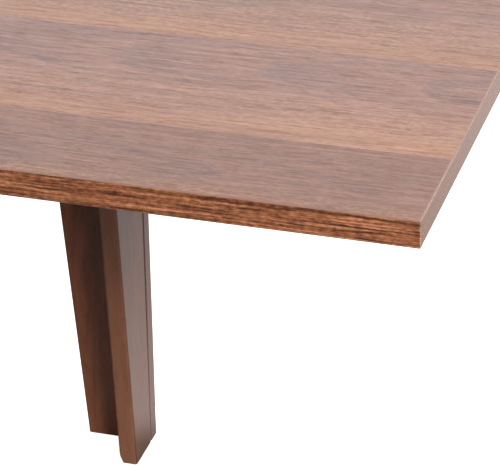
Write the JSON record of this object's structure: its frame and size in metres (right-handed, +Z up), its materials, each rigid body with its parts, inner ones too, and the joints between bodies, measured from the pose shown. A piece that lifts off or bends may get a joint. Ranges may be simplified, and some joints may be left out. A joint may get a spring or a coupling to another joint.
{
  "type": "extending dining table",
  "caption": "Dining table with L-shaped tapered legs and a plain walnut-look top that extends: the top slides along the base and its second half folds out on hinges.",
  "frame": {"origin": "on the floor, under the centre of the open top, which is also the seam between its halves", "axes": "+X along the open top, from the folding leaf to the sliding panel; +Y across the table, away from the near long side; +Z up"},
  "size_m": [1.8, 0.9, 0.763],
  "materials": {
    "top_wood": "walnut veneer, open grain along the length, low satin lacquer",
    "edge_wood": "walnut edge banding, strong grain, satin lacquer",
    "leg_wood": "walnut veneer, grain along the leg, satin lacquer",
    "rail_wood": "walnut veneer, grain along the rail, satin lacquer",
    "inner_wood": "bare beech",
    "dowel_wood": "fluted beech",
    "rail_aluminium": "extruded, satin anodised",
    "hinge_brass": "brushed brass",
    "slide_nylon": "natural nylon",
    "glide_plastic": "dark moulded plastic",
    "cap_plastic": "dark brown moulded plastic",
    "felt": "dark brown wool felt",
    "fastener_steel": "zinc plated"
  },
  "bodies": {
    "frame": {"apron_back": "rail_wood", "apron_front": "rail_wood", "apron_left": "rail_wood", "apron_right": "rail_wood", "apron_screws": "fastener_steel", "centre_rail": "inner_wood", "centre_rail_screws": "fastener_steel", "channel_screws": "fastener_steel", "channel_stops_back": "slide_nylon", "channel_stops_front": "slide_nylon", "corner_block_back_left": "inner_wood", "corner_block_back_right": "inner_wood", "corner_block_front_left": "inner_wood", "corner_block_front_right": "inner_wood", "felt_strips": "felt", "glide_back_left": "glide_plastic", "glide_back_right": "glide_plastic", "glide_front_left": "glide_plastic", "glide_front_right": "glide_plastic", "guide_channel_back": "rail_aluminium", "guide_channel_front": "rail_aluminium", "leg_back_left_end_board": "leg_wood", "leg_back_left_side_board": "leg_wood", "leg_back_right_end_board": "leg_wood", "leg_back_right_side_board": "leg_wood", "leg_bolt_washers": "fastener_steel", "leg_bolts": "fastener_steel", "leg_dowels": "dowel_wood", "leg_front_left_end_board": "leg_wood", "leg_front_left_side_board": "leg_wood", "leg_front_right_end_board": "leg_wood", "leg_front_right_side_board": "leg_wood", "leg_inserts": "fastener_steel", "screw_caps": "cap_plastic"},
    "main_top": {"hinge_back_fixed_leaf": "hinge_brass", "hinge_front_fixed_leaf": "hinge_brass", "hinge_middle_fixed_leaf": "hinge_brass", "hinge_pins": "hinge_brass", "hinge_screws_main": "hinge_brass", "main_edge_back": "edge_wood", "main_edge_end": "edge_wood", "main_edge_front": "edge_wood", "main_edge_seam": "edge_wood", "main_panel": "top_wood", "runner_back": "rail_aluminium", "runner_front": "rail_aluminium", "runner_screws": "fastener_steel", "slide_shoes_back": "slide_nylon", "slide_shoes_front": "slide_nylon"},
    "leaf": {"hinge_back_moving_leaf": "hinge_brass", "hinge_front_moving_leaf": "hinge_brass", "hinge_middle_moving_leaf": "hinge_brass", "hinge_screws_leaf": "hinge_brass", "leaf_edge_back": "edge_wood", "leaf_edge_end": "edge_wood", "leaf_edge_front": "edge_wood", "leaf_edge_seam": "edge_wood", "leaf_panel": "top_wood"}
  },
  "joints": [
    {"name": "top_slide", "type": "slide", "parent": "frame", "child": "main_top", "axis": [-1, 0, 0], "range_m": [0, 0.45]},
    {"name": "leaf_fold", "type": "hinge", "parent": "main_top", "child": "leaf", "pos_m": [0, 0, 0.7604], "axis": [0, 1, 0], "range_deg": [0, 180]}
  ]
}
